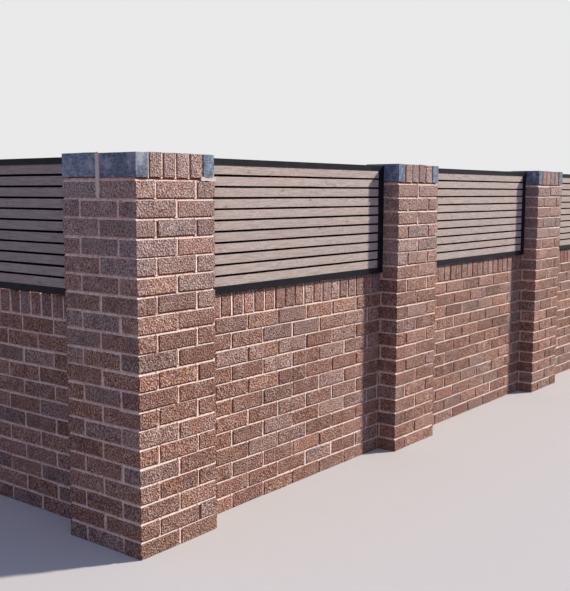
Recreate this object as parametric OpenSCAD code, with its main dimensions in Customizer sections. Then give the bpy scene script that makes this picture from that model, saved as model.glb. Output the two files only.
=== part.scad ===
// Brick garden wall round a corner: square piers, a dwarf wall between them with a
// brick-on-edge coping, and a slatted panel in an aluminium frame over each bay.
// The origin is the middle of the corner pier's foot. The street run goes along +X and
// the side run along +Y. Both show their outer faces to -Y and -X.

/* [Brick] */
// Length of a brick
brick_l = 215; // [200:1:240]
// Width of a brick, its height when it is laid on edge
brick_w = 102.5; // [95:0.5:115]
// Height of a brick, its width when it is laid on edge
brick_h = 65; // [50:1:75]
// Mortar joint
joint = 10; // [6:1:14]

/* [Layout] */
// Bays along the street, each with a pier at its far end
street_bays = 4; // [1:1:6]
// Bays along the side
side_bays = 2; // [1:1:6]
// Length of a bay's wall in bricks
bay_bricks = 6.5; // [3:0.5:10]

/* [Pier] */
// Courses in a pier's shaft
shaft_courses = 20; // [14:1:24]
// Bricks on edge across a pier's cap, with the two blue ones
cap_headers = 6; // [4:1:6]

/* [Dwarf wall] */
// Courses under the coping
wall_courses = 12; // [4:1:12]

/* [Fence panel] */
// Gap between the coping and the panel's bottom rail
panel_gap = 6; // [2:1:20]
// Distance from the panel's top rail down to the top of the piers
panel_drop = 10; // [0:1:60]
// Distance by which the panel stands in front of the wall's face
panel_proud = 15; // [0:1:40]
// Face height of the top and bottom rails
rail_h = 28; // [20:1:50]
// Face width of the two stiles
stile_w = 50; // [40:1:80]
// Depth of the stiles' channel that takes the slats' ends
channel_depth = 21; // [12:1:24]
// Wall thickness of the aluminium sections
alu_wall = 3; // [2:0.5:4]
// Number of slats
slat_count = 11; // [3:1:16]
// Thickness of a slat
slat_t = 20; // [14:1:26]
// Height of the shadow groove between two slats
groove_h = 7.5; // [3:0.5:12]
// Depth of the shadow groove
groove_depth = 6; // [3:0.5:7]
// Chamfer along a slat's long edges
slat_chamfer = 1.2; // [0.5:0.1:2]

/* [Hidden] */
course = brick_h + joint;
pier_w = 2 * brick_l + joint;
shaft_h = shaft_courses * course;
pier_h = shaft_h + brick_w;
bay_l = bay_bricks * (brick_l + joint) + joint;
pitch = pier_w + bay_l;
wall_t = brick_l;
wall_h = wall_courses * course;
coping_top = wall_h + brick_w;
blue_w = (pier_w - (cap_headers - 2) * course) / 2;

// The panel's section: y runs inwards from the frame's front face, z up from its foot.
panel_z = coping_top + panel_gap;
panel_h = pier_h - panel_drop - panel_z;
slat_play = 0.5;
frame_t = slat_t + 2 * slat_play + 2 * alu_wall;
panel_y = -wall_t / 2 - panel_proud;
slat_y = alu_wall + slat_play;
slat_pitch = (panel_h - 2 * rail_h + groove_h) / slat_count;
slat_h = slat_pitch - groove_h;
slat_end = stile_w - channel_depth + alu_wall;

BRICK_COLOUR = [0.62, 0.42, 0.36];
CAP_COLOUR = [0.66, 0.45, 0.38];
BLUE_COLOUR = [0.33, 0.36, 0.43];
FRAME_COLOUR = [0.14, 0.15, 0.17];
SLAT_COLOUR = [0.68, 0.60, 0.56];

PIER_PARTS = ["", "_cap", "_blue_bricks"];
BAY_PARTS = ["wall_", "coping_", "fence_panel_"];

// A block of masonry that is centred in plan and stands on z.
module block(size, z) {
    translate([-size.x / 2, -size.y / 2, z]) cube(size);
}

// A solid whose section is given in y and z and which runs along x from x0 to x1.
module along_x(x0, x1) {
    translate([x0, 0, 0]) rotate([90, 0, 90]) linear_extrude(x1 - x0) children();
}

// Places along a run: the middle of pier i, and where bay i leaves its near pier. The side
// run mirrors the street run across the corner, so its panels also face outwards.
module pier_place(i) { translate([i * pitch, 0, 0]) children(); }
module bay_place(i) { translate([(i - 1) * pitch + pier_w / 2, 0, 0]) children(); }
module side_run() { mirror([1, -1, 0]) children(); }

// Pier shaft, two bricks square, from the ground to the bed of the cap.
module pier_shaft() {
    color(BRICK_COLOUR) block([pier_w, pier_w, shaft_h], 0);
}

// Red bricks on edge in the middle of the cap, two bricks long.
module pier_cap() {
    color(CAP_COLOUR) block([pier_w - 2 * blue_w, pier_w, brick_w], shaft_h);
}

// Row of blue engineering bricks on edge down both sides of the cap.
module pier_blue_bricks() {
    color(BLUE_COLOUR)
        for (side = [-1, 1])
            translate([side * (pier_w - blue_w) / 2, 0, 0])
                block([blue_w, pier_w, brick_w], shaft_h);
}

// Dwarf wall of one bay, one brick thick.
module dwarf_wall() {
    color(BRICK_COLOUR) translate([0, -wall_t / 2, 0]) cube([bay_l, wall_t, wall_h]);
}

// Brick-on-edge coping of one bay.
module coping() {
    color(CAP_COLOUR) translate([0, -wall_t / 2, wall_h]) cube([bay_l, wall_t, brick_w]);
}

// Section of one slat from its foot at z0: a chamfered face on each side, and over it,
// unless it is the top slat, the neck that closes the shadow groove and carries the next.
module slat_section(z0, face_h, neck_h) {
    c = slat_chamfer;
    z1 = z0 + face_h;
    neck = [groove_depth, slat_t - groove_depth];
    polygon([
        [c, z0], [0, z0 + c], [0, z1 - c], [c, z1],
        [neck[0], z1], [neck[0], z1 + neck_h], [neck[1], z1 + neck_h], [neck[1], z1],
        [slat_t - c, z1], [slat_t, z1 - c], [slat_t, z0 + c], [slat_t - c, z0]
    ]);
}

// Slats, stacked on the web of the bottom rail, with their ends in the stiles' channels.
module slats() {
    hidden = rail_h - alu_wall;
    color(SLAT_COLOUR)
        along_x(slat_end, bay_l - slat_end)
            translate([slat_y, 0])
                for (i = [0:slat_count - 1]) {
                    foot = i == 0 ? hidden : 0;
                    top = i == slat_count - 1;
                    slat_section(rail_h + i * slat_pitch - foot,
                                 slat_h + foot + (top ? hidden - slat_play : 0),
                                 top ? 0 : groove_h);
                }
}

// Section of a rail: a channel with its web at z = 0 and its mouth up.
module rail_section() {
    difference() {
        square([frame_t, rail_h]);
        translate([alu_wall, alu_wall]) square([frame_t - 2 * alu_wall, rail_h]);
    }
}

// Stile: a closed box next to the pier, a channel for the slats' ends and a closed head.
module stile() {
    inner_t = frame_t - 2 * alu_wall;
    color(FRAME_COLOUR)
        difference() {
            cube([stile_w, frame_t, panel_h]);
            translate([alu_wall, alu_wall, -1])
                cube([stile_w - channel_depth - 2 * alu_wall, inner_t, panel_h - alu_wall + 1]);
            translate([stile_w - channel_depth, alu_wall, -1])
                cube([channel_depth + 1, inner_t, panel_h - alu_wall + 1]);
        }
}

// Aluminium frame: two stiles against the piers and two rails between them.
module panel_frame() {
    for (end = [0, 1])
        translate([end * bay_l, 0, 0]) mirror([end, 0, 0]) stile();
    color(FRAME_COLOUR)
        along_x(stile_w, bay_l - stile_w) {
            rail_section();
            translate([0, panel_h]) mirror([0, 1]) rail_section();
        }
}

// Fence panel of one bay.
module fence_panel() {
    translate([0, panel_y, panel_z]) {
        panel_frame();
        slats();
    }
}

pier_shaft();  // corner_pier
pier_cap();  // corner_pier_cap
pier_blue_bricks();  // corner_pier_blue_bricks

for (i = [1:street_bays]) {
    pier = str("street_pier_", i);
    pier_place(i) pier_shaft();
    pier_place(i) pier_cap();
    pier_place(i) pier_blue_bricks();
    bay_place(i) dwarf_wall();
    bay_place(i) coping();
    bay_place(i) fence_panel();
}

for (i = [1:side_bays]) side_run() {
    pier = str("side_pier_", i);
    pier_place(i) pier_shaft();
    pier_place(i) pier_cap();
    pier_place(i) pier_blue_bricks();
    bay_place(i) dwarf_wall();
    bay_place(i) coping();
    bay_place(i) fence_panel();
}
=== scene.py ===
"""Looks of a brick garden wall: its brickwork, fence panels, finishes, light and camera."""

import logging
import math
import random
from collections.abc import Callable
from dataclasses import dataclass, field
from enum import Enum
from functools import partial

import bmesh
import bpy
from mathutils import Matrix, Vector, noise


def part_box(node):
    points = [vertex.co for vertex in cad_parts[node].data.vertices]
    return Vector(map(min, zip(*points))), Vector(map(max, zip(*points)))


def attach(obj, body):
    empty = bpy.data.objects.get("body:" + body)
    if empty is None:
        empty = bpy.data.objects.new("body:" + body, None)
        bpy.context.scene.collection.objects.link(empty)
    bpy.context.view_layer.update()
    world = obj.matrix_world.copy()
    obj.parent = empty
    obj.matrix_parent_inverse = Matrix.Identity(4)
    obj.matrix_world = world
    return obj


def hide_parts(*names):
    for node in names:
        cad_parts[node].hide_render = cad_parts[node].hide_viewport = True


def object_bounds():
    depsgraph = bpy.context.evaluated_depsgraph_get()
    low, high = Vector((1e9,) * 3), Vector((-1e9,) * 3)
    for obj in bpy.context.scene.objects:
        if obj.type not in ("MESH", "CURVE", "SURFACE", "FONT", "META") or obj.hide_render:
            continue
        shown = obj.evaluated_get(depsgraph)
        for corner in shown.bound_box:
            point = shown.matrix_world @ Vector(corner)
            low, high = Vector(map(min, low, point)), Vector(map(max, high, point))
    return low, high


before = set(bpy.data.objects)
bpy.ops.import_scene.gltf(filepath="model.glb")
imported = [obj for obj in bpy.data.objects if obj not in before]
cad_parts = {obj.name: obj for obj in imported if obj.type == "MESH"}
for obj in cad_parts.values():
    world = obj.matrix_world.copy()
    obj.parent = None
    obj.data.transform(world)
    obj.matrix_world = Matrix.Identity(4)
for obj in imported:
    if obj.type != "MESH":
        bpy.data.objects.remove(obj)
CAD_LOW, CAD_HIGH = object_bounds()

LOG = logging.getLogger("brick_garden_wall")
MM = 0.001

STREET_BAYS = 4
SIDE_BAYS = 2
BODY = "root"
# Attribute of each brick's or slat's own chance numbers, and the map along each slat.
TONE = "tone"
GRAIN = "grain"
# How far apart two bricks' patterns lie, for each 1 that their tones differ.
OWN_SHIFT = 23.0
NOISE_SEED = 1

Setting = float | int | str | bool | tuple | list | bpy.types.Node | bpy.types.NodeSocket
Settings = dict[str | int, Setting]
AddNode = Callable[[str, Settings], bpy.types.Node]


def linear(colour: str) -> tuple[float, float, float, float]:
    """Turns an sRGB hex colour into linear light.

    Args:
        colour: Six hex digits after a hash, such as "#A07C70".

    Returns:
        Red, green, blue and alpha as Blender's sockets take them.
    """
    channels = [int(colour[i:i + 2], 16) / 255 for i in (1, 3, 5)]
    light = [c / 12.92 if c <= 0.04045 else ((c + 0.055) / 1.055) ** 2.4 for c in channels]
    return (*light, 1.0)


def set_node(tree: bpy.types.NodeTree, node: bpy.types.Node, settings: Settings) -> None:
    """Sets a node's properties and inputs, and links what feeds it.

    Args:
        tree: Node tree of a material or of the world.
        node: The node.
        settings: Values by the name of a property or of an input. A node or a socket as the
            value is linked to that input, a node by its first output in use. "stops" gives a
            colour ramp's positions and hex colours.
    """
    for key, value in settings.items():
        if key == "stops":
            while len(node.color_ramp.elements) < len(value):
                node.color_ramp.elements.new(1.0)
            for element, (position, colour) in zip(node.color_ramp.elements, value):
                element.position = position
                element.color = linear(colour)
            continue
        if isinstance(key, int):
            socket = node.inputs[key]
        elif key in node.bl_rna.properties:
            setattr(node, key, value)
            continue
        else:
            socket = next(s for s in node.inputs if s.enabled and s.name == key)
        if isinstance(value, bpy.types.Node):
            value = next(s for s in value.outputs if s.enabled)
        if isinstance(value, bpy.types.NodeSocket):
            tree.links.new(value, socket)
        else:
            socket.default_value = value


def add_node(tree: bpy.types.NodeTree, kind: str, settings: Settings) -> bpy.types.Node:
    """Adds a node with its settings and links.

    Args:
        tree: Node tree of a material or of the world.
        kind: Type of the node without its "ShaderNode", such as "TexNoise".
        settings: What set_node takes.

    Returns:
        The new node.
    """
    node = tree.nodes.new("ShaderNode" + kind)
    set_node(tree, node, settings)
    return node


def new_material(name: str) -> tuple[bpy.types.Material, AddNode]:
    """Makes a material with nodes.

    Args:
        name: Name of the finish.

    Returns:
        The material, and add_node for its own tree.
    """
    material = bpy.data.materials.new(name)
    material.use_nodes = True
    return material, partial(add_node, material.node_tree)


def finished(material: bpy.types.Material, settings: Settings) -> bpy.types.Material:
    """Sets and links the shader of a material.

    Args:
        material: The material.
        settings: What set_node takes.

    Returns:
        The same material.
    """
    tree = material.node_tree
    set_node(tree, tree.nodes["Principled BSDF"], settings)
    return material


def own_pattern(add: AddNode) -> tuple[bpy.types.NodeSocket, bpy.types.Node, bpy.types.Node]:
    """Adds the nodes that give each brick a pattern of its own.

    Args:
        add: Adds a node to the material.

    Returns:
        The place in the object, the brick's own three numbers, and the place shifted by them.
    """
    place = add("TexCoord", {}).outputs["Object"]
    tone = add("Attribute", {"attribute_name": TONE})
    parts = add("SeparateColor", {"Color": tone})
    shift = add("VectorMath", {"operation": "SCALE", "Vector": tone, "Scale": OWN_SHIFT})
    return place, parts, add("VectorMath", {"operation": "ADD", 0: place, 1: shift})


def seen_directly(add: AddNode) -> bpy.types.Node:
    """Adds the nodes that tell what the camera, a reflection or a glass sees.

    Args:
        add: Adds a node to the material or the world.

    Returns:
        A node that gives 1 for such a ray and 0 for one that only brings light.
    """
    rays = add("LightPath", {}).outputs
    glossy = add("Math", {"operation": "MAXIMUM", 0: rays["Is Camera Ray"], 1: rays["Is Glossy Ray"]})
    return add("Math", {"operation": "MAXIMUM", 0: glossy, 1: rays["Is Transmission Ray"]})


@dataclass(frozen=True)
class RusticBrick:
    """Rustic red clay brick: wire-cut and rusticated before firing.

    The wires and rollers leave pits and short upright creases over a sandy face, and the kiln
    turns each brick another brown, red or grey.
    """

    name: str = "rustic_red_clay_brick"
    reds: tuple[str, ...] = (
        "#8F6B60", "#A07867", "#9A7060", "#AC8576", "#A57C6A", "#9C8078", "#AB8C80")
    crease_shade: str = "#4A2F29"
    bloom: str = "#B59C94"
    flash: str = "#6A5E64"
    lime: str = "#DDDAE0"
    crease_width: float = 7 * MM
    crease_stretch: float = 0.7
    crease_depth: float = 2.4 * MM
    patch: float = 60 * MM
    grit: float = 6.5 * MM
    grit_depth: float = 8 * MM
    fleck: float = 7 * MM
    # Rain washes more lime over the courses from the first of these heights to the second.
    washed_from: float = 0.8
    washed_to: float = 1.5
    roughness: float = 0.9

    def build(self) -> bpy.types.Material:
        """Builds the material.

        Returns:
            The material, which reads each brick's own tone from the mesh.
        """
        material, add = new_material(self.name)
        place, parts, own = own_pattern(add)

        # The kiln gives each brick its own red, and darker or lighter patches across its face.
        last = len(self.reds) - 1
        fired = add("ValToRGB", {
            "Fac": parts.outputs[0], "stops": [(i / last, red) for i, red in enumerate(self.reds)]})
        patches = add("TexNoise", {
            "Vector": own, "Scale": 1 / self.patch, "Detail": 3.0, "Roughness": 0.6})
        bloomed = add("MapRange", {"Value": patches, "From Min": 0.5, "From Max": 0.72, "To Max": 0.6})
        pale_body = add("Mix", {
            "data_type": "RGBA", "Factor": bloomed, "A": fired, "B": linear(self.bloom)})
        flashed = add("MapRange", {
            "Value": patches, "From Min": 0.3, "From Max": 0.44, "To Min": 0.55, "To Max": 0.0})
        body = add("Mix", {
            "data_type": "RGBA", "Factor": flashed, "A": pale_body, "B": linear(self.flash)})

        # Sand grit lightens and darkens the face. It is drawn coarser than sand, so that it shows.
        grit = add("TexNoise", {"Vector": own, "Scale": 1 / self.grit, "Detail": 3.0, "Roughness": 0.7})
        speckle = add("MapRange", {
            "Value": grit, "From Min": 0.4, "From Max": 0.6, "To Min": 0.4, "To Max": 1.65})
        lit = add("Math", {"operation": "MULTIPLY", 0: speckle, 1: parts.outputs[1]})
        bright = add("VectorMath", {"operation": "SCALE", "Vector": body, "Scale": lit})
        # Pale grains are greyer than dark ones, so that the face keeps one hue.
        strong = add("MapRange", {
            "Value": grit, "From Min": 0.4, "From Max": 0.6, "To Min": 1.45, "To Max": 0.75})
        gritty = add("HueSaturation", {"Color": bright, "Saturation": strong})

        # Pits and short upright creases from the rusticating rollers. Their relief is bumped, and they
        # are also darkened in colour: a painted shade in them.
        upright = add("VectorMath", {
            "operation": "MULTIPLY", 0: own, 1: (1.0, 1.0, self.crease_stretch)})
        creases = add("TexNoise", {
            "Vector": upright, "Scale": 1 / self.crease_width, "Detail": 3.0,
            "Roughness": 0.6, "Distortion": 0.6})
        crease_shade_mask = add("MapRange", {
            "Value": creases, "From Min": 0.37, "From Max": 0.45, "To Min": 0.85, "To Max": 0.0})
        pitted = add("Mix", {
            "data_type": "RGBA", "Factor": crease_shade_mask, "A": gritty, "B": linear(self.crease_shade)})

        # Lime from the joints lies in pale flecks, more of it on the rain-washed upper courses.
        flecks = add("TexNoise", {
            "Vector": own, "Scale": 1 / self.fleck, "Detail": 2.0, "Roughness": 0.7})
        flecked = add("MapRange", {"Value": flecks, "From Min": 0.36, "From Max": 0.68, "To Max": 0.34})
        height = add("SeparateXYZ", {"Vector": place}).outputs["Z"]
        washed = add("MapRange", {
            "Value": height, "From Min": self.washed_from, "From Max": self.washed_to,
            "To Min": 0.15, "To Max": 1.3})
        pale = add("Math", {"operation": "MULTIPLY", 0: flecked, 1: washed})
        limed = add("Mix", {"data_type": "RGBA", "Factor": pale, "A": pitted, "B": linear(self.lime)})

        relief = add("MapRange", {
            "Value": creases, "From Min": 0.34, "From Max": 0.6, "To Max": self.crease_depth})
        # Only the coarse part of the grit stands out, because finer relief wouldn't show.
        coarse = add("TexNoise", {"Vector": own, "Scale": 1 / self.grit, "Detail": 0.0})
        fine = add("Math", {"operation": "MULTIPLY_ADD", 0: coarse, 1: self.grit_depth, 2: relief})
        bump = add("Bump", {"Height": fine, "Distance": 1.0})
        return finished(material, {
            "Base Color": limed, "Normal": bump, "Roughness": self.roughness, "Specular IOR Level": 0.15})


@dataclass(frozen=True)
class LimeMortar:
    """Sand and lime-cement mortar, struck with a trowel: pale and grainy.

    The struck face slopes back from a pale lip to a deeper side, which is painted a dusty brown: painted
    shade on top of the real shadow that its depth casts.
    """

    name: str = "struck_lime_cement_mortar"
    pale: str = "#DFCEC4"
    # The dusty brown is painted shade, laid on the deeper side of each joint.
    dusty: str = "#B57C6B"
    sand: float = 3 * MM
    sand_depth: float = 0.5 * MM
    trowel: float = 14 * MM
    trowel_depth: float = 1.0 * MM
    # The mortar turns from the painted dusty shade to pale between these shares of the way to the lip.
    lip: tuple[float, float] = (0.45, 0.63)
    roughness: float = 0.95

    def build(self) -> bpy.types.Material:
        """Builds the material.

        Returns:
            The material, which reads from the mesh how near the lip a point of the joint is.
        """
        material, add = new_material(self.name)
        place = add("TexCoord", {}).outputs["Object"]
        parts = add("SeparateColor", {"Color": add("Attribute", {"attribute_name": TONE})})
        trowel = add("TexNoise", {"Vector": place, "Scale": 1 / self.trowel, "Detail": 3.0})
        uneven = add("MapRange", {
            "Value": trowel, "From Min": 0.3, "From Max": 0.7, "To Min": -0.2, "To Max": 0.2})
        near = add("Math", {
            "operation": "MULTIPLY_ADD", 0: uneven, 1: parts.outputs[2], 2: parts.outputs[0]})
        lip = add("MapRange", {"Value": near, "From Min": self.lip[0], "From Max": self.lip[1]})
        # Painted shade: dusty brown towards the deeper side, and the mortar's own pale at the lip.
        colour = add("Mix", {
            "data_type": "RGBA", "Factor": lip, "A": linear(self.dusty), "B": linear(self.pale)})
        sand = add("TexNoise", {"Vector": place, "Scale": 1 / self.sand, "Detail": 2.0})
        grains = add("MapRange", {
            "Value": sand, "From Min": 0.3, "From Max": 0.7, "To Min": 0.85, "To Max": 1.08})
        bright = add("Math", {"operation": "MULTIPLY", 0: grains, 1: parts.outputs[1]})
        sandy = add("VectorMath", {"operation": "SCALE", "Vector": colour, "Scale": bright})
        coarse = add("Math", {"operation": "MULTIPLY", 0: trowel, 1: self.trowel_depth})
        height = add("Math", {"operation": "MULTIPLY_ADD", 0: sand, 1: self.sand_depth, 2: coarse})
        bump = add("Bump", {"Height": height, "Distance": 1.0})
        return finished(material, {
            "Base Color": sandy, "Normal": bump, "Roughness": self.roughness, "Specular IOR Level": 0.1})


@dataclass(frozen=True)
class BlueBrick:
    """Blue engineering brick: clay fired hard with little air, dense and faintly glazed.

    It reads as a smooth slate blue-grey with drag lines, fine specks and a soft sheen.
    """

    name: str = "smooth_blue_engineering_brick"
    blue: str = "#737F93"
    grey: str = "#888F9E"
    slate: str = "#606C82"
    lime: str = "#D5D3D6"
    smudge: float = 80 * MM
    cloud: float = 22 * MM
    drag: float = 6 * MM
    drag_stretch: float = 0.15
    drag_depth: float = 0.4 * MM
    pit: float = 6 * MM
    contrast: float = 1.3
    roughness: float = 0.42

    def build(self) -> bpy.types.Material:
        """Builds the material.

        Returns:
            The material.
        """
        material, add = new_material(self.name)
        _, parts, own = own_pattern(add)
        clouds = add("TexNoise", {"Vector": own, "Scale": 1 / self.cloud, "Detail": 4.0})
        body = add("ValToRGB", {
            "Fac": clouds, "stops": [(0.35, self.slate), (0.5, self.blue), (0.65, self.grey)]})
        # Level drag lines from the die run across each face.
        level = add("VectorMath", {
            "operation": "MULTIPLY", 0: own, 1: (self.drag_stretch, self.drag_stretch, 1.0)})
        drags = add("TexNoise", {"Vector": level, "Scale": 1 / self.drag, "Detail": 3.0})
        scored = add("MapRange", {
            "Value": drags, "From Min": 0.3, "From Max": 0.7, "To Min": 0.66, "To Max": 1.34})
        pits = add("TexNoise", {"Vector": own, "Scale": 1 / self.pit, "Detail": 2.0})
        speckled = add("MapRange", {
            "Value": pits, "From Min": 0.35, "From Max": 0.65, "To Min": 0.72, "To Max": 1.28})
        fired = add("Math", {"operation": "POWER", 0: parts.outputs[1], 1: self.contrast})
        marked = add("Math", {"operation": "MULTIPLY", 0: scored, 1: speckled})
        lit = add("Math", {"operation": "MULTIPLY", 0: marked, 1: fired})
        fine = add("VectorMath", {"operation": "SCALE", "Vector": body, "Scale": lit})
        # A whitish smudge of lime lies here and there.
        smudges = add("TexNoise", {"Vector": own, "Scale": 1 / self.smudge, "Detail": 4.0})
        limed = add("MapRange", {"Value": smudges, "From Min": 0.56, "From Max": 0.74, "To Max": 0.5})
        colour = add("Mix", {"data_type": "RGBA", "Factor": limed, "A": fine, "B": linear(self.lime)})
        height = add("Math", {"operation": "ADD", 0: drags, 1: pits})
        bump = add("Bump", {"Height": height, "Distance": self.drag_depth})
        gloss = add("MapRange", {
            "Value": clouds, "From Min": 0.3, "From Max": 0.7,
            "To Min": self.roughness - 0.08, "To Max": self.roughness + 0.12})
        return finished(material, {
            "Base Color": colour, "Normal": bump, "Roughness": gloss, "Specular IOR Level": 0.1})


@dataclass(frozen=True)
class EmbossedComposite:
    """Wood-plastic composite, extruded and embossed with a grain: matt taupe with fine streaks."""

    name: str = "embossed_wood_plastic_composite"
    taupe: str = "#C1B4AE"
    streak: str = "#9A8A83"
    knot: str = "#7C6B64"
    streak_width: float = 4 * MM
    streak_length: float = 120 * MM
    figure_size: float = 34 * MM
    figure_width: float = 11 * MM
    figure_bands: float = 4.0
    figure_stretch: float = 0.16
    figure_strength: float = 0.42
    knot_spacing: float = 250 * MM
    knot_stretch: float = 0.45
    emboss_depth: float = 0.5 * MM

    def build(self) -> bpy.types.Material:
        """Builds the material.

        Returns:
            The material, whose grain follows the mesh's own map along each slat.
        """
        material, add = new_material(self.name)
        along = add("UVMap", {"uv_map": GRAIN})
        parts = add("SeparateColor", {"Color": add("Attribute", {"attribute_name": TONE})})
        stretch = self.streak_width / self.streak_length
        drawn = add("VectorMath", {"operation": "MULTIPLY", 0: along, 1: (stretch, 1.0, 1.0)})
        streaks = add("TexNoise", {
            "Vector": drawn, "Scale": 1 / self.streak_width, "Detail": 4.0, "Roughness": 0.6})
        # The figure is the arched grain of a plain-sawn board, with a knot here and there.
        wide = add("VectorMath", {
            "operation": "MULTIPLY", 0: along, 1: (self.figure_stretch, 1.0, 1.0)})
        figure = add("TexNoise", {
            "Vector": wide, "Scale": 1 / self.figure_size, "Detail": 1.0, "Distortion": 0.6})
        count = self.figure_size / self.figure_width * self.figure_bands
        bands = add("Math", {"operation": "MULTIPLY", 0: figure, 1: count})
        rings = add("Math", {"operation": "PINGPONG", 0: bands, 1: 0.5})
        arched = add("MapRange", {
            "Value": rings, "From Min": 0.0, "From Max": 0.16, "To Min": 1.0, "To Max": 0.0})
        figured = add("Math", {"operation": "MULTIPLY", 0: arched, 1: self.figure_strength})
        fine = add("MapRange", {"Value": streaks, "From Min": 0.42, "From Max": 0.68, "To Max": 0.8})
        streaked = add("Mix", {
            "data_type": "RGBA", "Factor": fine, "A": linear(self.taupe), "B": linear(self.streak)})
        oval = add("VectorMath", {
            "operation": "MULTIPLY", 0: along, 1: (self.knot_stretch, 1.0, 1.0)})
        knots = add("TexVoronoi", {
            "voronoi_dimensions": "2D", "Vector": oval, "Scale": 1 / self.knot_spacing})
        knotty = add("MapRange", {
            "Value": knots.outputs["Distance"], "From Min": 0.01, "From Max": 0.035,
            "To Min": 0.6, "To Max": 0.0})
        marks = add("Math", {"operation": "MAXIMUM", 0: figured, 1: knotty})
        grained = add("Mix", {
            "data_type": "RGBA", "Factor": marks, "A": streaked, "B": linear(self.knot)})
        colour = add("VectorMath", {"operation": "SCALE", "Vector": grained, "Scale": parts.outputs[1]})
        height = add("Math", {"operation": "SUBTRACT", 0: streaks, 1: arched})
        bump = add("Bump", {"Height": height, "Distance": self.emboss_depth, "Strength": 0.8})
        return finished(material, {
            "Base Color": colour, "Normal": bump, "Roughness": 0.65, "Specular IOR Level": 0.03})


@dataclass(frozen=True)
class PaintedGrooveShade:
    """Painted shade in a slat's groove and on its chamfers: almost black-brown, so that the gap reads as
    a shadow.
    """

    name: str = "painted_shade_composite_groove"
    brown: str = "#1A1211"
    dust: float = 25 * MM

    def build(self) -> bpy.types.Material:
        """Builds the material.

        Returns:
            The material.
        """
        material, add = new_material(self.name)
        along = add("UVMap", {"uv_map": GRAIN})
        dust = add("TexNoise", {"Vector": along, "Scale": 1 / self.dust, "Detail": 4.0})
        shade = add("MapRange", {
            "Value": dust, "From Min": 0.3, "From Max": 0.7, "To Min": 0.7, "To Max": 1.3})
        colour = add("VectorMath", {
            "operation": "SCALE", "Vector": linear(self.brown)[:3], "Scale": shade})
        return finished(material, {"Base Color": colour, "Roughness": 0.9, "Specular IOR Level": 0.0})


@dataclass(frozen=True)
class PowderCoat:
    """Black powder coat on extruded aluminium: a fine orange peel with a satin sheen."""

    name: str = "black_powder_coated_aluminium"
    black: str = "#14161E"
    dust: str = "#2A2C31"
    peel: float = 1.6 * MM
    peel_depth: float = 0.06 * MM
    smear: float = 70 * MM
    roughness: float = 0.45

    def build(self) -> bpy.types.Material:
        """Builds the material.

        Returns:
            The material.
        """
        material, add = new_material(self.name)
        place = add("TexCoord", {}).outputs["Object"]
        peel = add("TexNoise", {"Vector": place, "Scale": 1 / self.peel, "Detail": 1.0})
        smears = add("TexNoise", {
            "Vector": place, "Scale": 1 / self.smear, "Detail": 5.0, "Roughness": 0.65})
        dusty = add("MapRange", {"Value": smears, "From Min": 0.5, "From Max": 0.8, "To Max": 0.4})
        colour = add("Mix", {
            "data_type": "RGBA", "Factor": dusty, "A": linear(self.black), "B": linear(self.dust)})
        gloss = add("MapRange", {
            "Value": smears, "From Min": 0.3, "From Max": 0.7,
            "To Min": self.roughness - 0.05, "To Max": self.roughness + 0.15})
        bump = add("Bump", {"Height": peel, "Distance": self.peel_depth})
        return finished(material, {
            "Base Color": colour, "Normal": bump, "Roughness": gloss, "Specular IOR Level": 0.1})


@dataclass(frozen=True)
class StudioFloor:
    """Matt pale studio floor, which throws only a little of its light back onto the wall."""

    name: str = "matt_studio_floor"
    pale: str = "#C4C3C3"
    bounce: str = "#7E7E82"

    def build(self) -> bpy.types.Material:
        """Builds the material.

        Returns:
            The material.
        """
        material, add = new_material(self.name)
        colour = add("Mix", {
            "data_type": "RGBA", "Factor": seen_directly(add),
            "A": linear(self.bounce), "B": linear(self.pale)})
        return finished(material, {"Base Color": colour, "Roughness": 0.9, "Specular IOR Level": 0.1})


class Finishes:
    """The materials of the wall, each built once."""

    def __init__(self) -> None:
        """Builds every material."""
        self.mortar = LimeMortar().build()
        self.brick = RusticBrick().build()
        self.blue = BlueBrick().build()
        self.slat = EmbossedComposite().build()
        # Painted shade for the slats' grooves and chamfers.
        self.groove = PaintedGrooveShade().build()
        self.frame = PowderCoat().build()


@dataclass
class Box:
    """A space between its lowest and highest corners."""

    low: Vector
    high: Vector

    @property
    def centre(self) -> Vector:
        """Middle of the box."""
        return (self.low + self.high) / 2

    @property
    def size(self) -> Vector:
        """Length of its sides."""
        return self.high - self.low

    @property
    def matrix(self) -> Matrix:
        """Matrix that makes a cube with sides of 1 m into this box."""
        return Matrix.Translation(self.centre) @ Matrix.Diagonal((*self.size, 1))

    def shrunk(self, low: Vector, high: Vector) -> "Box":
        """Box that is smaller by low at its low sides and by high at its high sides."""
        return Box(self.low + low, self.high - high)

    def clamp(self, point: Vector) -> Vector:
        """Nearest point of the box."""
        return Vector(min(max(p, a), b) for p, a, b in zip(point, self.low, self.high))


class Run(Enum):
    """The two straight runs from the corner.

    A run's own x goes along it from the corner, y goes inwards and z goes up.
    """

    STREET = "street"
    SIDE = "side"

    @property
    def matrix(self) -> Matrix:
        """Matrix from the run's own axes to the frame's; the side run swaps x and y."""
        if self is Run.STREET:
            return Matrix.Identity(4)
        return Matrix(((0, 1, 0, 0), (1, 0, 0, 0), (0, 0, 1, 0), (0, 0, 0, 1)))

    def box(self, node: str) -> Box:
        """Box of a CAD node in the run's own axes."""
        low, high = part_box(node)
        return Box(self.matrix @ low, self.matrix @ high)


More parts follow.
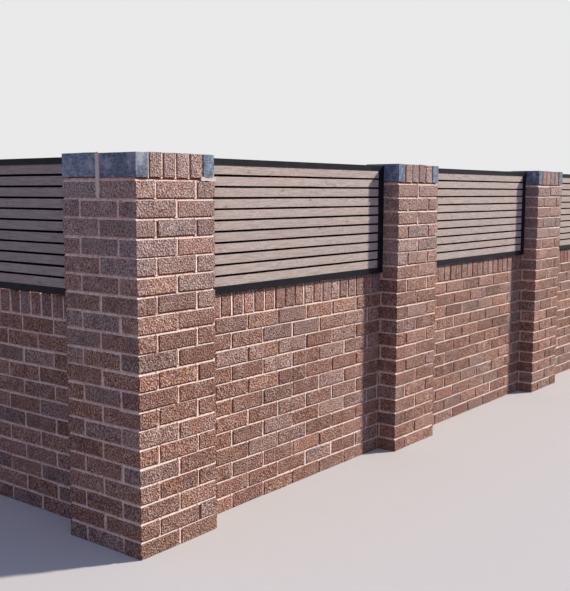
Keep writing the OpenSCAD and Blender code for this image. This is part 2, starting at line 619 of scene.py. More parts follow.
@dataclass(frozen=True)
class Brick:
    """A standard brick, and how evenly bricks are made and laid."""

    length: float = 215 * MM
    width: float = 102.5 * MM
    height: float = 65 * MM
    joint: float = 10 * MM
    arris: float = 1.1 * MM
    play: float = 1.2 * MM
    size_spread: float = 0.8 * MM
    place_spread: float = 0.8 * MM
    turn_spread: float = math.radians(0.3)
    # The mortar laps over the arrises in a joint, the more so at the end of a longer side.
    lap: float = 0.5 * MM
    lap_share: float = 0.004
    lap_range: tuple[float, float] = (0.6, 1.4)
    # How bright one brick is beside the next, where 1 is the finish's own colour.
    light_spread: float = 0.11
    light_range: tuple[float, float] = (0.75, 1.24)
    wave: float = 1.1 * MM
    wave_length: float = 42 * MM
    chipped_share: float = 0.07
    chip_reach: float = 16 * MM
    chip_depth: float = 6 * MM

    @property
    def course(self) -> float:
        """Height of a course with its bed joint."""
        return self.height + self.joint


BRICK = Brick()
ALONG_X = Vector((BRICK.length, BRICK.width, BRICK.height))
ALONG_Y = Vector((BRICK.width, BRICK.length, BRICK.height))
HALF = Vector((BRICK.width, BRICK.width, BRICK.height))
ON_EDGE = Vector((BRICK.height, BRICK.length, BRICK.width))
# How strongly the shading of a rounded edge follows the bigger faces beside it.
FACE_WEIGHT = 80


def to_data(name: str, mesh: bmesh.types.BMesh) -> bpy.types.Mesh:
    """Turns a mesh in the making into mesh data.

    Args:
        name: Name of the data.
        mesh: The mesh, which is freed.

    Returns:
        The data.
    """
    data = bpy.data.meshes.new(name)
    mesh.to_mesh(data)
    mesh.free()
    return data


def add_object(name: str, data: bpy.types.ID) -> bpy.types.Object:
    """Puts a mesh, lamp or camera into the scene.

    Args:
        name: Name of the object.
        data: Its data.

    Returns:
        The object.
    """
    added = bpy.data.objects.new(name, data)
    bpy.context.scene.collection.objects.link(added)
    return added


def make_piece(name: str, mesh: bmesh.types.BMesh, run: Run, materials: list[bpy.types.Material],
               node: str) -> bpy.types.Object:
    """Turns a mesh in a run's own axes into a piece that stands for a CAD node.

    Args:
        name: Name of the piece.
        mesh: Its mesh, which is freed.
        run: The run that it belongs to.
        materials: Its materials, in the order of the faces' numbers.
        node: The CAD node that it stands for.

    Returns:
        The piece.
    """
    bmesh.ops.transform(mesh, matrix=run.matrix, verts=mesh.verts)
    bmesh.ops.recalc_face_normals(mesh, faces=mesh.faces)
    for face in mesh.faces:
        face.smooth = True
    data = to_data(name, mesh)
    for material in materials:
        data.materials.append(material)
    piece = add_object(name, data)
    rounding = piece.modifiers.new("rounded_edges", "WEIGHTED_NORMAL")
    rounding.weight = FACE_WEIGHT
    rounding.keep_sharp = True
    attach(piece, BODY)
    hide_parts(node)
    LOG.info("%s has %d faces", name, len(data.polygons))
    return piece


MORTAR_GRID = 25 * MM
MORTAR_WAVE_LENGTH = 35 * MM
MORTAR_WAVE = 0.9 * MM
# Depths behind the node's faces: the lip of a struck joint, its deeper side, and the core.
LIP = 2.7 * MM
RECESS = 14.5 * MM
# The faces towards -X are pointed fuller than the others.
FULL_RECESS = 5 * MM
CORE = 17.5 * MM
# Shares of a bed joint's depth to which upright joints are struck, from and to.
SHALLOW = (0.18, 0.6)
DEEP = (0.5, 0.85)
# Mortar goes this far into what a node meets on its closed sides.
KEY = 3 * MM
# Mortar goes this far behind the arrises of the bricks beside a joint.
LAP = 6 * MM
BED_LAP = 4 * MM
# Two faces that are nearer than this are in one plane.
TOUCH = 2 * MM
WIDEST_JOINT = 16 * MM
# An edge of mortar that turns by more than this is shaded as an edge.
SHARP = math.radians(50)
# An edge of a brick or of the frame that turns by more than this is rounded.
ARRIS = math.radians(60)
# An edge longer than this share of a brick is the long edge of a whole one.
WHOLE = 0.8
# A lump of mortar: how square it is pressed, where 1 is round, and how uneven.
PRESSED = 0.4
LUMP_WAVE_LENGTH = 18 * MM
LUMP_WAVE = 5 * MM


@dataclass(frozen=True)
class Pointing:
    """How the mortar of one kind of joint looks.

    Its tones say how pale it is at the joint's deeper side and at its lip, its light how bright
    it is, where 1 is the colour as it is given, and its wobble how uneven the trowel leaves the
    edge of the pale lip.
    """

    tones: tuple[float, float]
    light: float
    wobble: float = 1.0

    def tone(self, on_lip: bool) -> tuple[float, float, float, float]:
        """Tone of a point of the joint, as the mesh keeps it."""
        return self.tones[on_lip], self.light, self.wobble, 1.0


# Tone 0 is the painted dusty shade of a joint's deeper side, and tone 1 its pale lip.
STRUCK = Pointing((0.0, 1.0), 0.98)
UPRIGHT = Pointing((0.0, 1.1), 1.2)
# On the faces towards -X, which lie in shade, the mortar has less of the painted dusty shade and is
# painted brighter: a painted light.
FULL = Pointing((0.48, 0.61), 1.2, 0.3)
# Mortar between the bricks, which takes the painted dusty shade, and what was left on their faces.
INSIDE = Pointing((0.0, 0.0), 1.0, 0.0)
LEFT = Pointing((1.0, 1.0), 1.0, 0.0)


class Masonry:
    """Bricks and mortar of one node, laid in the run's own axes as one mesh.

    The mortar is the piece's first material and the bricks are its second.
    """

    BRICKS = 1

    def __init__(self, run: Run, node: str, open_low: tuple[int, int, int],
                 open_high: tuple[int, int, int], upright: tuple[float, float] = SHALLOW) -> None:
        """Starts an empty mesh.

        Args:
            run: The run that the node belongs to.
            node: The CAD node that the brickwork stands for.
            open_low: 1 for each low side that shows or stands on the ground, otherwise 0.
            open_high: The same for the high sides.
            upright: How deep its upright joints are struck, from and to, as shares of a bed joint.
        """
        self.upright = upright
        self.run = run
        self.node = node
        self.space = run.box(node)
        self.open = Box(Vector(open_low), Vector(open_high))
        self.face = self.room(BRICK.play, 0)
        self.lip = self.room(LIP, -KEY)
        self.back = self.room(RECESS, -KEY)
        self.full_axis = 0 if run is Run.STREET else 1
        if self.open.low[self.full_axis]:
            self.back.low[self.full_axis] -= RECESS - FULL_RECESS
        self.random = random.Random(node)
        self.mesh = bmesh.new()
        self.tone = self.mesh.verts.layers.float_color.new(TONE)
        self.chips: list[tuple[Vector, Vector]] = []
        self.joints: list[tuple[int, Box]] = []

    def room(self, depth: float, closed: float) -> Box:
        """Space that lies behind the open sides by depth and behind the closed ones by closed."""
        low, high = ([depth if is_open else closed for is_open in sides]
                     for sides in (self.open.low, self.open.high))
        return self.space.shrunk(Vector(low), Vector(high))

    def shows(self, part: Box, axis: int) -> bool:
        """Whether a joint beside a brick reaches an open side.

        Args:
            part: The brick's space.
            axis: The axis across the joint.

        Returns:
            Whether it does.
        """
        return any(
            self.open.low[a] and part.low[a] < self.space.low[a] + TOUCH
            or self.open.high[a] and part.high[a] > self.space.high[a] - TOUCH
            for a in range(3) if a != axis)

    def lay(self, centre: Vector, size: Vector) -> None:
        """Lays one brick, a little off its place as a bricklayer does.

        Args:
            centre: Middle of the brick.
            size: Its size along the run, inwards and up.
        """
        part = Box(centre - size / 2, centre + size / 2)
        self.point(part)
        low, high = part.low.copy(), part.high.copy()
        for axis in range(3):
            lap = BRICK.lap + BRICK.lap_share * size[axis]
            if not self.open.low[axis] or low[axis] > self.space.low[axis] + TOUCH:
                low[axis] += lap * self.random.uniform(*BRICK.lap_range)
            if not self.open.high[axis] or high[axis] < self.space.high[axis] - TOUCH:
                high[axis] -= lap * self.random.uniform(*BRICK.lap_range)
        low, high = self.face.clamp(low), self.face.clamp(high)
        made = high - low + Vector(self.random.gauss(0, BRICK.size_spread) for _ in range(3))
        middle = (low + high) / 2 + Vector(self.random.gauss(0, BRICK.place_spread) for _ in range(3))
        turn = Matrix.Rotation(self.random.gauss(0, BRICK.turn_spread), 4, "Z")
        tilt = Matrix.Rotation(self.random.gauss(0, BRICK.turn_spread), 4, "Y")
        matrix = Matrix.Translation(middle) @ turn @ tilt @ Matrix.Diagonal((*made, 1))
        cube = bmesh.ops.create_cube(self.mesh, size=1.0, matrix=matrix)
        darkest, brightest = BRICK.light_range
        light = min(max(self.random.gauss(1, BRICK.light_spread), darkest), brightest)
        tone = (self.random.random(), light, self.random.random(), 1.0)
        for vert in cube["verts"]:
            vert[self.tone] = tone
            for face in vert.link_faces:
                face.material_index = self.BRICKS
        if self.random.random() < BRICK.chipped_share:
            corner = self.random.choice(cube["verts"]).co.copy()
            self.chips.append((corner, (middle - corner).normalized() * BRICK.chip_depth))

    def point(self, part: Box) -> None:
        """Notes the upright joints beside a brick, for its own low side and the last high side.

        Args:
            part: The brick's space.
        """
        for axis in (0, 1):
            if not self.shows(part, axis):
                continue
            sides = []
            if part.low[axis] > self.space.low[axis] + TOUCH:
                sides.append((part.low[axis] - BRICK.joint - LAP, part.low[axis] + LAP))
            if TOUCH < self.space.high[axis] - part.high[axis] < WIDEST_JOINT:
                sides.append((part.high[axis] - LAP, part.high[axis] + WIDEST_JOINT))
            for start, end in sides:
                low = part.low - Vector((0, 0, BED_LAP))
                high = part.high + Vector((0, 0, BED_LAP))
                low[axis], high[axis] = start, end
                self.joints.append((axis, Box(low, high)))

    def bed(self, z: float) -> None:
        """Notes the bed joint over a course.

        Args:
            z: Top of the course's bricks.
        """
        low, high = self.space.low.copy(), self.space.high.copy()
        low.z = z - BED_LAP
        high.z = z + BRICK.joint + BED_LAP
        self.joints.append((2, Box(low, high)))

    def weather(self) -> None:
        """Rounds the arrises, bends the faces as firing does and knocks off a few corners."""
        long_edges = [e for e in self.mesh.edges if e.calc_length() > BRICK.length * WHOLE]
        bmesh.ops.subdivide_edges(self.mesh, edges=long_edges, cuts=2, use_grid_fill=True)
        arrises = [e for e in self.mesh.edges if e.calc_face_angle() > ARRIS]
        bmesh.ops.bevel(self.mesh, geom=arrises, offset=BRICK.arris, offset_type="OFFSET",
                        segments=1, profile=0.5, affect="EDGES", material=-1)
        for vert in self.mesh.verts:
            seed = Vector(vert[self.tone][:3]) * OWN_SHIFT
            vert.co += noise.noise_vector(vert.co / BRICK.wave_length + seed) * BRICK.wave
            for corner, inwards in self.chips:
                near = 1 - (vert.co - corner).length / BRICK.chip_reach
                if near > 0:
                    vert.co += inwards * near

    def strike(self, axis: int, joint: Box) -> None:
        """Fills a joint with mortar, whose face slopes back from a lip at the axis's low side.

        Args:
            axis: The axis across the joint.
            joint: The joint's space.
        """
        block = bmesh.new()
        tone = block.verts.layers.float_color.new(TONE)
        bmesh.ops.create_cube(block, size=1.0, matrix=joint.matrix)
        block.normal_update()
        across = [face for face in block.faces if abs(face.normal[axis]) > 0.5]
        bmesh.ops.delete(block, geom=across, context="FACES_ONLY")
        for side in (0, 1) if axis == 2 else (2,):
            cuts = max(round(joint.size[side] / MORTAR_GRID) - 1, 0)
            edges = [e for e in block.edges
                     if abs((e.verts[0].co - e.verts[1].co)[side]) > joint.size[side] / 2]
            bmesh.ops.subdivide_edges(block, edges=edges, cuts=cuts, use_grid_fill=True)
        bmesh.ops.holes_fill(block, edges=block.edges)
        middle = joint.centre[axis]
        slope = 1.0 if axis == 2 else self.random.uniform(*self.upright)
        pointing = STRUCK if axis == 2 else UPRIGHT
        # Joints on the shaded faces towards -X take FULL: less painted dusty shade, and mortar painted
        # brighter.
        has_full = self.open.low[self.full_axis] and axis != self.full_axis
        full_until = self.space.low[self.full_axis] + LAP
        for vert in block.verts:
            on_lip = vert.co[axis] < middle
            full = has_full and vert.co[self.full_axis] < full_until
            vert[tone] = (FULL if full else pointing).tone(on_lip)
            place = self.lip.clamp(vert.co)
            if not on_lip:
                place = place.lerp(self.back.clamp(vert.co), slope)
            vert.co = place + noise.noise_vector(vert.co / MORTAR_WAVE_LENGTH) * MORTAR_WAVE
        block.normal_update()
        for edge in block.edges:
            edge.smooth = edge.calc_face_angle(math.pi) < SHARP
        self.take(block)

    def fill(self, core: Box) -> None:
        """Fills a space between the bricks with mortar.

        Args:
            core: The space.
        """
        block = bmesh.new()
        bmesh.ops.create_cube(block, size=1.0, matrix=core.matrix)
        tone = block.verts.layers.float_color.new(TONE)
        for vert in block.verts:
            vert[tone] = INSIDE.tone(False)
        for edge in block.edges:
            edge.smooth = False
        self.take(block)

    def smear(self, lump: Box) -> None:
        """Leaves a lump of pale mortar in a joint, a ball pressed out towards its corners.

        Args:
            lump: Its space.
        """
        block = bmesh.new()
        tone = block.verts.layers.float_color.new(TONE)
        bmesh.ops.create_icosphere(block, subdivisions=4, radius=1.0)
        for vert in block.verts:
            vert[tone] = LEFT.tone(True)
            pressed = Vector(math.copysign(abs(c) ** PRESSED, c) for c in vert.co)
            vert.co = lump.centre + pressed * lump.size / 2
            vert.co += noise.noise_vector(vert.co / LUMP_WAVE_LENGTH) * LUMP_WAVE
        self.take(block)

    def take(self, block: bmesh.types.BMesh) -> None:
        """Joins a block of mortar to the mesh.

        Args:
            block: The block's mesh, which is freed.
        """
        data = to_data("mortar", block)
        self.mesh.from_mesh(data)
        bpy.data.meshes.remove(data)

    def piece(self, brick: bpy.types.Material, mortar: bpy.types.Material, slot: str,
              cores: list[Box] | None = None) -> bpy.types.Object:
        """Weathers the bricks, strikes the joints and makes the piece.

        Args:
            brick: Material of the bricks.
            mortar: Material of the mortar.
            slot: The record's material slot; it is not used.
            cores: Spaces of mortar behind the joints, if not the whole node's.

        Returns:
            The piece, which stays within the CAD model's box.
        """
        self.weather()
        for axis, joint in self.joints:
            self.strike(axis, joint)
        for core in cores or [self.room(CORE, 0)]:
            self.fill(core)
        cad = Box(self.run.matrix @ CAD_LOW, self.run.matrix @ CAD_HIGH)
        for vert in self.mesh.verts:
            vert.co = cad.clamp(vert.co)
        name = self.node + "_brickwork"
        return make_piece(name, self.mesh, self.run, [mortar, brick], self.node)


class PierCourse(Enum):
    """What the course right under a pier's cap shows on the run's outer face."""

    HEADERS_AT_ENDS = 0
    TWO_STRETCHERS = 1


@dataclass
class Pier:
    """A pier two bricks square, with a cap of bricks on edge between two rows of blue ones."""

    run: Run
    node: str
    top_course: PierCourse
    finishes: Finishes
    lumps: tuple[Box, ...] = ()
    courses: int = 20
    red_rows: int = 4
    # The bed joint under the cap is thicker than the others by this much.
    thick_bed: float = 4 * MM
    sides: tuple[int, int] = (-1, 1)

    def build(self) -> list[bpy.types.Object]:
        """Builds the shaft, the cap and the blue bricks.

        Returns:
            The pieces.
        """
        return [self.shaft(), self.cap(), self.blue_bricks()]

    def shaft(self) -> bpy.types.Object:
        """Builds the shaft, whose courses turn by a quarter from one to the next.

        Returns:
            The piece.
        """
        work = Masonry(self.run, self.node, (1, 1, 1), (1, 1, 0))
        middle = work.space.centre
        outer = BRICK.length + BRICK.joint / 2 - BRICK.width / 2
        inner = (BRICK.length + BRICK.joint) / 2
        for course in range(self.courses):
            from_top = self.courses - 1 - course
            turned = (from_top + self.top_course.value) % 2 == 1
            z = work.space.low.z + course * BRICK.course + BRICK.height / 2
            places = [(side * outer, end * inner, ALONG_Y)
                      for side in self.sides for end in self.sides]
            places += [(0.0, side * outer, ALONG_X) for side in self.sides]
            for x, y, size in places:
                if turned:
                    x, y, size = y, x, size.yxz
                work.lay(Vector((middle.x + x, middle.y + y, z)), size)
            work.bed(z + BRICK.height / 2)
        for lump in self.lumps:
            work.smear(lump)
        return work.piece(self.finishes.brick, self.finishes.mortar, "red_brickwork")

    def cap(self) -> bpy.types.Object:
        """Builds the red bricks on edge in the middle of the cap.

        Returns:
            The piece.
        """
        work = Masonry(self.run, self.node + "_cap", (0, 1, 0), (0, 1, 1), DEEP)
        middle = work.space.centre
        for row in range(self.red_rows):
            x = middle.x + (row - (self.red_rows - 1) / 2) * BRICK.course
            self.lay_row(work, x, middle)
        return work.piece(self.finishes.brick, self.finishes.mortar, "red_brickwork")

    def blue_bricks(self) -> bpy.types.Object:
        """Builds the row of blue bricks down both sides of the cap.

        Returns:
            The piece.
        """
        work = Masonry(self.run, self.node + "_blue_bricks", (1, 1, 0), (1, 1, 1), DEEP)
        space = work.space
        half = space.high.x - space.centre.x
        room = work.room(CORE, 0)
        cores = []
        for side in self.sides:
            self.lay_row(work, space.centre.x + side * (half - BRICK.height / 2), space.centre)
            inner = space.centre.x + side * (half - BRICK.height + CORE)
            core = Box(room.low.copy(), room.high.copy())
            if side < 0:
                core.high.x = inner
            else:
                core.low.x = inner
            cores.append(core)
        return work.piece(self.finishes.blue, self.finishes.mortar, "blue_brick", cores)

    def lay_row(self, work: Masonry, x: float, middle: Vector) -> None:
        """Lays two bricks on edge, one behind the other.

        Args:
            work: The brickwork that they go into.
            x: Place of the row along the run.
            middle: Middle of the cap.
        """
        bed = Vector((0, 0, self.thick_bed))
        for side in self.sides:
            y = middle.y + side * (BRICK.length + BRICK.joint) / 2
            work.lay(Vector((x, y, middle.z)) + bed / 2, ON_EDGE - bed)


@dataclass
class FencePanel:
    """Slatted panel: composite slats with shadow grooves in an aluminium channel frame."""

    run: Run
    node: str
    finishes: Finishes
    rail_height: float = 28 * MM
    stile_width: float = 50 * MM
    wall: float = 3 * MM
    channel_depth: float = 21 * MM
    slat_count: int = 11
    slat_thickness: float = 20 * MM
    slat_play: float = 0.5 * MM
    slat_wave: float = 0.9 * MM
    slat_cuts: int = 9
    waves_per_metre: float = 2.5
    wave_shift: float = 9.0
    # Each slat has its own brightness, and its own place in the grain, along and across.
    tone_spread: float = 0.025
    grain_length: float = 50.0
    grain_step: float = 0.7
    # The side run's slats, which lie in shade, are painted a little darker than the street's: a painted
    # shade.
    side_tone: float = 0.86
    groove_height: float = 7.5 * MM
    groove_depth: float = 6 * MM
    chamfer: float = 1.2 * MM
    # The foot of the frame hangs this much lower than its node, close over the coping.
    foot: float = 3 * MM
    edge: float = 0.7 * MM
    seam: float = 0.2 * MM
    space: Box = field(init=False)

    def __post_init__(self) -> None:
        """Reads the panel's space from the frame."""
        self.space = self.run.box(self.node)

    @property
    def thickness(self) -> float:
        """Thickness of the frame."""
        return self.space.high.y - self.space.low.y

    @property
    def height(self) -> float:
        """Height of the frame."""
        return self.space.high.z - self.space.low.z

    def build(self) -> list[bpy.types.Object]:
        """Builds the frame and the slats.

        Returns:
            The pieces.
        """
        return [self.frame(), self.slats()]

    def extrude(self, mesh: bmesh.types.BMesh, outline: list[Vector],
                way: Vector) -> list[bmesh.types.BMFace]:
        """Extrudes an outline into a closed solid.

        Args:
            mesh: The mesh that takes it.
            outline: Corners of the section, in order.
            way: Direction and length of the extrusion.

        Returns:
            The faces of the solid.
        """
        section = mesh.faces.new([mesh.verts.new(point) for point in outline])
        grown = bmesh.ops.extrude_face_region(mesh, geom=[section], use_keep_orig=True)["geom"]
        moved = [g for g in grown if isinstance(g, bmesh.types.BMVert)]
        bmesh.ops.translate(mesh, verts=moved, vec=way)
        return list({face for vert in (*moved, *section.verts) for face in vert.link_faces})

    def frame(self) -> bpy.types.Object:
        """Builds two stiles against the piers and two rails between them.

        Returns:
            The piece.
        """
        mesh = bmesh.new()
        self.stile(mesh, self.space.low.x, 1)
        self.stile(mesh, self.space.high.x, -1)
        self.rail(mesh, self.space.low.z - self.foot, 1)
        self.rail(mesh, self.space.high.z, -1)
        bmesh.ops.recalc_face_normals(mesh, faces=mesh.faces)
        sharp = [e for e in mesh.edges if e.calc_face_angle(0) > ARRIS]
        bmesh.ops.bevel(mesh, geom=sharp, offset=self.edge, offset_type="OFFSET", segments=2,
                        profile=0.5, affect="EDGES", material=-1)
        return make_piece(self.node + "_frame", mesh, self.run, [self.finishes.frame],
                          self.node)

    def stile(self, mesh: bmesh.types.BMesh, x: float, way: int) -> None:
        """Adds a stile: a channel for the slats' ends under a closed head.

        Args:
            mesh: The frame's mesh.
            x: Where its outer side stands.
            way: 1 where its channel opens to the far end of the run, or -1.
        """
        web = self.stile_width - self.channel_depth
        inside = self.thickness - self.wall
        plan = [(0, 0), (self.stile_width, 0), (self.stile_width, self.wall), (web, self.wall),
                (web, inside), (self.stile_width, inside), (self.stile_width, self.thickness),
                (0, self.thickness)]
        low = self.space.low.z - self.foot
        outline = [Vector((x + way * px, self.space.low.y + py, low)) for px, py in plan]
        self.extrude(mesh, outline, Vector((0, 0, self.height + self.foot - self.wall - self.seam)))
        top = self.space.high.z - self.wall
        head = [Vector((x + way * px, self.space.low.y + py, top))
                for px, py in (plan[0], plan[1], plan[6], plan[7])]
        self.extrude(mesh, head, Vector((0, 0, self.wall)))

    def rail(self, mesh: bmesh.types.BMesh, z: float, way: int) -> None:
        """Adds a rail: a channel that holds the outermost slat.

        Args:
            mesh: The frame's mesh.
            z: Where its outer side lies.
            way: 1 where its channel opens upwards, or -1.
        """
        inside = self.thickness - self.wall
        height = self.rail_height + (self.foot if way > 0 else 0)
        section = [(0, 0), (self.thickness, 0), (self.thickness, height), (inside, height),
                   (inside, self.wall), (self.wall, self.wall), (self.wall, height), (0, height)]
        start = self.space.low.x + self.stile_width + self.seam
        end = self.space.high.x - self.stile_width - self.seam
        outline = [Vector((start, self.space.low.y + py, z + way * pz)) for py, pz in section]
        self.extrude(mesh, outline, Vector((end - start, 0, 0)))

    def slats(self) -> bpy.types.Object:
        """Builds the slats, each with its faces, its neck and its own tone.

        Returns:
            The piece.
        """
        mesh = bmesh.new()
        tone = mesh.verts.layers.float_color.new(TONE)
        grain = mesh.loops.layers.uv.new(GRAIN)
        rand = random.Random(self.node)
        opening = self.height - 2 * self.rail_height
        pitch = (opening + self.groove_height) / self.slat_count
        hidden = self.rail_height - self.wall - self.slat_play
        start = self.space.low.x + self.stile_width - self.channel_depth + self.wall
        end = self.space.high.x - self.stile_width + self.channel_depth - self.wall
        y0 = self.space.low.y + self.wall + self.slat_play
        y1 = y0 + self.slat_thickness
        # Painted shade: the side run's slats are darkened.
        run_painted_shade = self.side_tone if self.run is Run.SIDE else 1.0
        for number in range(self.slat_count):
            z0 = self.space.low.z + self.rail_height + number * pitch
            z1 = z0 + pitch - self.groove_height
            top = number == self.slat_count - 1
            if number == 0:
                z0 -= hidden
            if top:
                z1 += hidden
            outline = self.slat_outline(y0, y1, z0, z1, top)
            faces = self.extrude(mesh, [Vector((start, y, z)) for y, z in outline],
                                 Vector((end - start, 0, 0)))
            own = (rand.random(), rand.gauss(1, self.tone_spread) * run_painted_shade, rand.random(), 1.0)
            offset = Vector((rand.uniform(0, self.grain_length), number * self.grain_step))
            for face in faces:
                # The embossed faces are the outer and inner ones, and the sawn ends match them. The
                # chamfers and the groove's faces take the painted groove shade.
                middle = face.calc_center_median()
                embossed = min(middle.y - y0, y1 - middle.y) < self.chamfer / 4
                face.material_index = 0 if embossed or len(face.verts) > 4 else 1
                for loop in face.loops:
                    place = loop.vert.co
                    loop.vert[tone] = own
                    loop[grain].uv = (place.x + offset.x, place.z + place.y + offset.y)
        long_edges = [e for e in mesh.edges if e.calc_length() > (end - start) / 2]
        bmesh.ops.subdivide_edges(mesh, edges=long_edges, cuts=self.slat_cuts, use_grid_fill=True)
        for vert in mesh.verts:
            place = Vector((vert.co.x * self.waves_per_metre, self.wave_shift * vert[tone][2],
                            vert[tone][0] * self.wave_shift))
            vert.co.z += noise.noise(place) * self.slat_wave
        materials = [self.finishes.slat, self.finishes.groove]
        return make_piece(self.node + "_slats", mesh, self.run, materials, self.node)

    def slat_outline(self, y0: float, y1: float, z0: float, z1: float,
                     top: bool) -> list[tuple[float, float]]:
        """Works out the section of a slat.

        Args:
            y0: Its outer face.
            y1: Its inner face.
            z0: Its foot.
            z1: Its shoulder.
            top: Whether it is the top slat, which has no neck.

        Returns:
            Corners of the section, inwards and up.
        """
        c = self.chamfer
        outline = [(y0 + c, z0), (y0, z0 + c), (y0, z1 - c), (y0 + c, z1)]
        if not top:
            # The neck goes a little way into the foot of the next slat.
            neck = z1 + self.groove_height + c
            outline += [(y0 + self.groove_depth, z1), (y0 + self.groove_depth, neck),
                        (y1 - self.groove_depth, neck), (y1 - self.groove_depth, z1)]
        return outline + [(y1 - c, z1), (y1, z1 - c), (y1, z0 + c), (y1 - c, z0)]


@dataclass
class Bay:
    """What stands between two piers: a dwarf wall, its coping and a fence panel."""

    run: Run
    number: int
    finishes: Finishes
    courses: int = 12
    whole_bricks: int = 6
    coping_bricks: int = 19

    def node(self, part: str) -> str:
        """Name of the CAD node of a part of this bay."""
        return f"{self.run.value}_{part}_{self.number}"

    def build(self) -> list[bpy.types.Object]:
        """Builds the wall, the coping and the panel.

        Returns:
            The pieces.
        """
        panel = FencePanel(self.run, self.node("fence_panel"), self.finishes)
        return [self.wall(), self.coping(), *panel.build()]

    def wall(self) -> bpy.types.Object:
        """Builds two leaves of stretchers; every other course starts with a half brick.

        Returns:
            The piece.
        """
        work = Masonry(self.run, self.node("wall"), (0, 1, 1), (0, 1, 0))
        space = work.space
        half_first_on_top = self.run is Run.STREET
        for course in range(self.courses):
            z = space.low.z + course * BRICK.course + BRICK.height / 2
            even = (self.courses - 1 - course) % 2 == 0
            sizes = [ALONG_X] * self.whole_bricks
            sizes = [HALF, *sizes] if even == half_first_on_top else [*sizes, HALF]
            for side in (-1, 1):
                y = space.centre.y + side * (BRICK.width + BRICK.joint) / 2
                x = space.low.x + BRICK.joint
                for size in sizes:
                    work.lay(Vector((x + size.x / 2, y, z)), size)
                    x += size.x + BRICK.joint
            work.bed(z + BRICK.height / 2)
        return work.piece(self.finishes.brick, self.finishes.mortar, "red_brickwork")

    def coping(self) -> bpy.types.Object:
        """Builds the bricks on edge across the wall's top.

        Returns:
            The piece.
        """
        work = Masonry(self.run, self.node("coping"), (0, 1, 0), (0, 1, 1), DEEP)
        space = work.space
        length = space.high.x - space.low.x
        joint = (length - self.coping_bricks * BRICK.height) / (self.coping_bricks + 1)
        for i in range(self.coping_bricks):
            x = space.low.x + joint + BRICK.height / 2 + i * (BRICK.height + joint)
            work.lay(Vector((x, space.centre.y, space.centre.z)), ON_EDGE)
        return work.piece(self.finishes.brick, self.finishes.mortar, "red_brickwork")


@dataclass(frozen=True)
class SoftSun:
    """Soft sun lamp.

    Its azimuth is measured in degrees from straight in front of the street run towards +X, its
    elevation from level.
    """

    name: str
    azimuth: float
    elevation: float
    strength: float
    colour: str = "#FFF6E8"
    softness: float = 4.0

    def build(self) -> None:
        """Builds the lamp, turned towards the wall."""
        lamp = bpy.data.lights.new(self.name, "SUN")
        lamp.energy = self.strength
        lamp.angle = math.radians(self.softness)
        lamp.color = linear(self.colour)[:3]
        turn, rise = math.radians(self.azimuth), math.radians(self.elevation)
        level = math.cos(rise)
        way = Vector((math.sin(turn) * level, -math.cos(turn) * level, math.sin(rise)))
        add_object(self.name, lamp).rotation_euler = way.to_track_quat("Z", "Y").to_euler()


@dataclass(frozen=True)
class Studio:
    """Plain soft studio light, a pale floor and a white background.

    The key light comes from the right of the street face, so that the piers' left sides lie in
    shade.
    """

    lamps: tuple[SoftSun, ...] = (SoftSun("key_light", 56.0, 33.0, 5.2),
                                  SoftSun("fill_light", 165.0, 30.0, 1.3))
    world_strength: float = 0.49
    world_colour: str = "#CED4FF"
    background: float = 0.82
    floor_size: float = 500.0

    def world(self) -> None:
        """Lights from all round and shows white to the camera and to reflections."""
        world = bpy.data.worlds.new("studio")
        world.use_nodes = True
        bpy.context.scene.world = world
        world.node_tree.nodes.clear()
        add = partial(add_node, world.node_tree)
        light = add("Background", {"Color": linear(self.world_colour), "Strength": self.world_strength})
        white = add("Background", {"Color": linear("#FFFFFF"), "Strength": self.background})
        both = add("MixShader", {0: seen_directly(add), 1: light, 2: white})
        add("OutputWorld", {"Surface": both})

    def floor(self) -> None:
        """Lays the pale floor under the wall."""
        mesh = bmesh.new()
        middle = Vector(((CAD_LOW.x + CAD_HIGH.x) / 2, (CAD_LOW.y + CAD_HIGH.y) / 2, CAD_LOW.z))
        bmesh.ops.create_grid(mesh, x_segments=1, y_segments=1, size=self.floor_size / 2,
                              matrix=Matrix.Translation(middle))
        data = to_data("floor", mesh)
        data.materials.append(StudioFloor().build())
        add_object("floor", data)

    def build(self) -> None:
        """Builds the floor, the world and the lamps."""
        self.floor()
        self.world()
        for lamp in self.lamps:
            lamp.build()
        bpy.context.scene.view_settings.view_transform = "Standard"


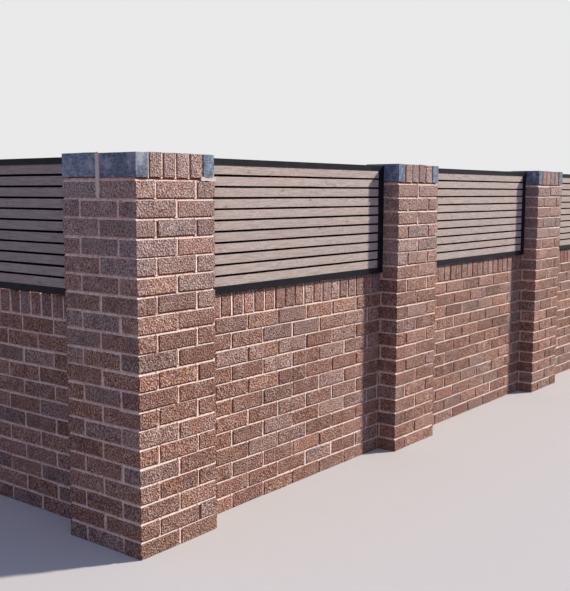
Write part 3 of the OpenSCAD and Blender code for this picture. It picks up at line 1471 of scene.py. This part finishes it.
@dataclass(frozen=True)
class PhotoCamera:
    """Camera of the photograph, fitted to the bricks' corners: eye height, off the corner."""

    place: tuple[float, float, float] = (-2.5414, -2.7578, 1.4499)
    yaw: float = 38.138
    pitch: float = -6.607
    roll: float = 0.138
    lens: float = 54.55
    sensor: float = 36.0

    def build(self) -> None:
        """Sets the camera up and makes it the scene's."""
        data = bpy.data.cameras.new("photo_camera")
        data.lens = self.lens
        data.sensor_width = self.sensor
        camera = add_object("photo_camera", data)
        camera.matrix_world = (
            Matrix.Translation(self.place)
            @ Matrix.Rotation(math.radians(self.yaw - 90), 4, "Z")
            @ Matrix.Rotation(math.radians(90 + self.pitch), 4, "X")
            @ Matrix.Rotation(math.radians(self.roll), 4, "Z"))
        bpy.context.scene.camera = camera


def build_wall(finishes: Finishes) -> list[bpy.types.Object]:
    """Builds the corner pier and then the piers and bays of both runs.

    Args:
        finishes: The materials.

    Returns:
        The pieces.
    """
    # Mortar was left in a lump under the corner pier's cap, and smeared down its middle joint.
    lumps = (Box(Vector((138, -226, 1489)) * MM, Vector((222, -206, 1508)) * MM),
             Box(Vector((-227, -11, 1424)) * MM, Vector((-204, 11, 1604)) * MM))
    pieces = Pier(Run.STREET, "corner_pier", PierCourse.HEADERS_AT_ENDS, finishes, lumps).build()
    for run, bays in ((Run.STREET, STREET_BAYS), (Run.SIDE, SIDE_BAYS)):
        for number in range(1, bays + 1):
            pier = f"{run.value}_pier_{number}"
            pieces += Pier(run, pier, PierCourse.TWO_STRETCHERS, finishes).build()
            pieces += Bay(run, number, finishes).build()
    return pieces


def main() -> None:
    """Builds the wall, its light and its camera."""
    logging.basicConfig(level=logging.INFO, format="%(name)s: %(message)s")
    # Without a seed, the noise that bends the bricks' faces would start from the clock.
    noise.seed_set(NOISE_SEED)
    PhotoCamera().build()
    Studio().build()
    pieces = build_wall(Finishes())
    LOG.info("%d pieces with %d faces", len(pieces), sum(len(p.data.polygons) for p in pieces))


if __name__ == "__main__":
    main()
